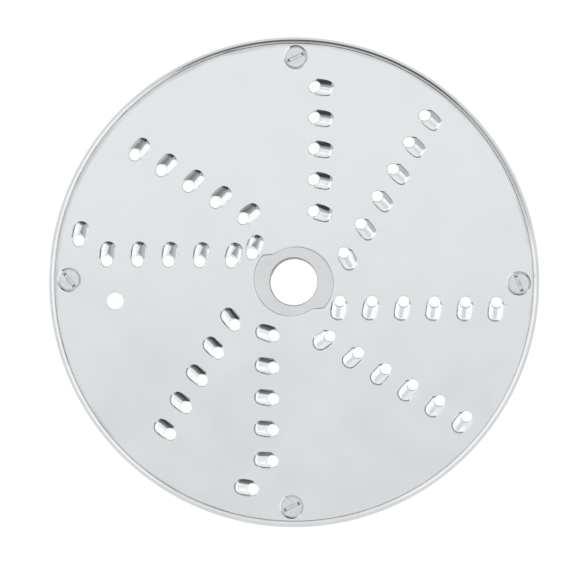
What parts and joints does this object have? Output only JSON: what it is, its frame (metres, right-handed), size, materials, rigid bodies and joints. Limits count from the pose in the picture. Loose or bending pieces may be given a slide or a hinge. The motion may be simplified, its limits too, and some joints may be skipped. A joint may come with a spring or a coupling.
{
  "type": "food processor grating disc",
  "caption": "Round grating disc: a punched steel plate with hooded teeth, screwed into a cast carrier ring with spokes and a central drive bore.",
  "frame": {"origin": "on the bore axis, in the plane of the rim's underside that the disc rests on", "axes": "+Z along the bore axis towards the grating side, +X through one of the rim screws"},
  "size_m": [0.175, 0.175, 0.0136],
  "materials": {
    "plate_steel": "fine satin stainless sheet, bright on the drawn teeth",
    "cast_aluminium": "cast, turned on the rim and the hub face",
    "screw_steel": "plain turned steel"
  },
  "bodies": {
    "root": {"grating_plate": "plate_steel", "carrier": "cast_aluminium", "rim_screws": "screw_steel"}
  },
  "joints": []
}
